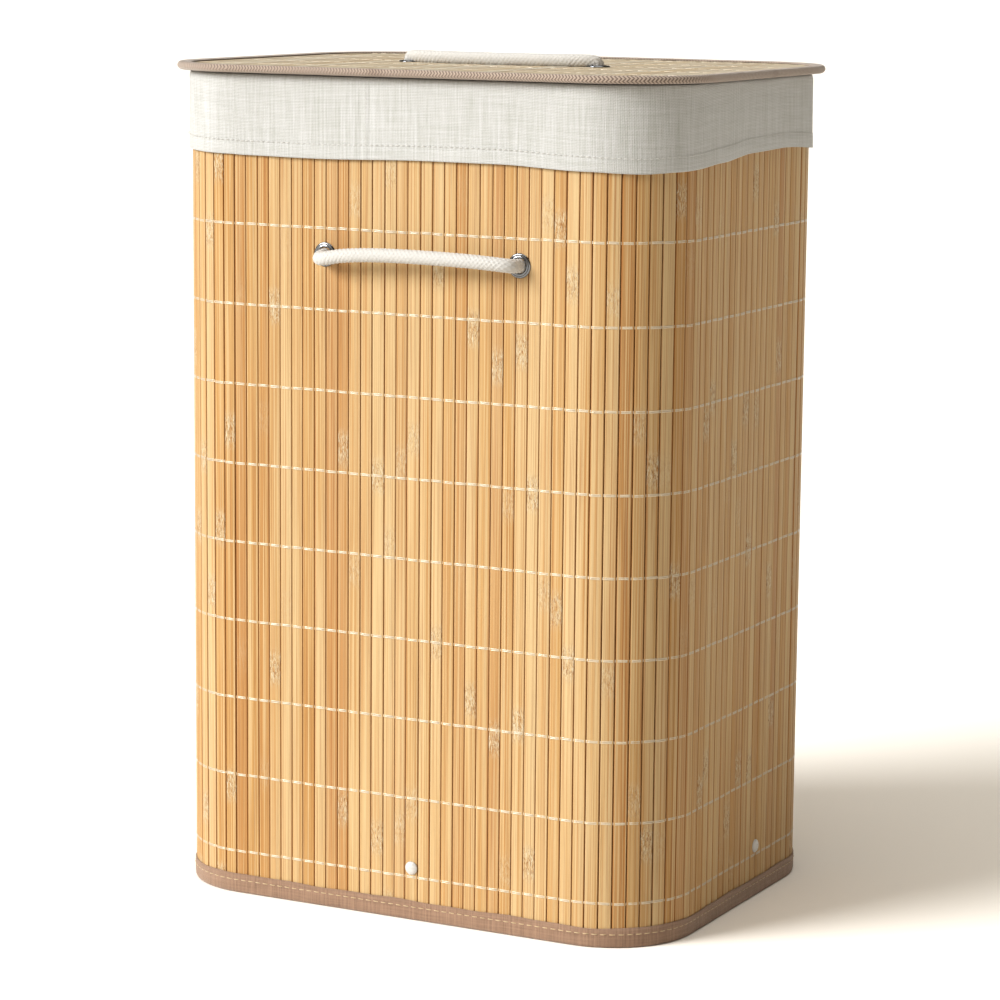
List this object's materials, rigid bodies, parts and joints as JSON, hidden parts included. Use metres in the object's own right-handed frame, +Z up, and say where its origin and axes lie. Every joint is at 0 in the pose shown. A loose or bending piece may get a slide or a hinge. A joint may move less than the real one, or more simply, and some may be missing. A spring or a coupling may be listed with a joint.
{
  "type": "laundry hamper",
  "caption": "Tall rectangular laundry hamper of bamboo slats with rounded corners, a hinged slatted lid, a cloth liner folded over the rim and rope handles.",
  "frame": {"origin": "centre of the base, on the floor", "axes": "+Z up, +X along the long walls, -Y out of the front wall"},
  "size_m": [0.422, 0.356, 0.6158],
  "materials": {
    "bamboo": "satin split bamboo with a vertical grain",
    "thread": "matt cotton thread",
    "lining": "matt non-woven cloth",
    "tape": "matt woven tape",
    "wire": "bright drawn wire",
    "clip_plastic": "moulded, matt",
    "rivet_plastic": "moulded, semi-gloss",
    "board": "cloth-faced board",
    "linen": "matt linen weave",
    "chrome": "bright plated steel",
    "rope": "soft twisted cotton"
  },
  "bodies": {
    "basket": {"front_slats": "bamboo", "right_slats": "bamboo", "back_slats": "bamboo", "left_slats": "bamboo", "back_right_corner_slats": "bamboo", "back_left_corner_slats": "bamboo", "front_left_corner_slats": "bamboo", "front_right_corner_slats": "bamboo", "weft_threads": "thread", "wall_lining": "lining", "bottom_binding": "tape", "top_binding": "tape", "rim_wire": "wire", "base_wire": "wire", "front_wire_clip": "clip_plastic", "front_rivet": "rivet_plastic", "right_wire_clip": "clip_plastic", "right_rivet": "rivet_plastic", "back_wire_clip": "clip_plastic", "back_rivet": "rivet_plastic", "left_wire_clip": "clip_plastic", "left_rivet": "rivet_plastic", "base_board": "board", "liner_bag": "linen", "front_eyelets": "chrome", "front_washers": "chrome", "front_rope_knots": "rope", "back_eyelets": "chrome", "back_washers": "chrome", "back_rope_knots": "rope", "hinge_tabs": "tape"},
    "lid": {"lid_slats": "bamboo", "lid_threads": "thread", "lid_backing": "board", "lid_wire": "wire", "lid_binding": "tape", "lid_eyelets": "chrome", "lid_washers": "chrome", "lid_rope_knots": "rope"},
    "front_handle": {"front_handle_rope": "rope"},
    "back_handle": {"back_handle_rope": "rope"},
    "lid_handle": {"lid_handle_rope": "rope"}
  },
  "joints": [
    {"name": "lid_hinge", "type": "hinge", "parent": "basket", "child": "lid", "pos_m": [0, 0.157, 0.5998], "axis": [-1, 0, 0], "range_deg": [0, 110]},
    {"name": "front_handle_swing", "type": "hinge", "parent": "basket", "child": "front_handle", "pos_m": [0.015, -0.1565, 0.4745], "axis": [1, 0, 0], "range_deg": [-65, 105]},
    {"name": "back_handle_swing", "type": "hinge", "parent": "basket", "child": "back_handle", "pos_m": [-0.015, 0.1565, 0.4745], "axis": [-1, 0, 0], "range_deg": [-65, 105]},
    {"name": "lid_handle_swing", "type": "hinge", "parent": "lid", "child": "lid_handle", "pos_m": [0, 0, 0.6111], "axis": [-1, 0, 0], "range_deg": [0, 170]}
  ]
}
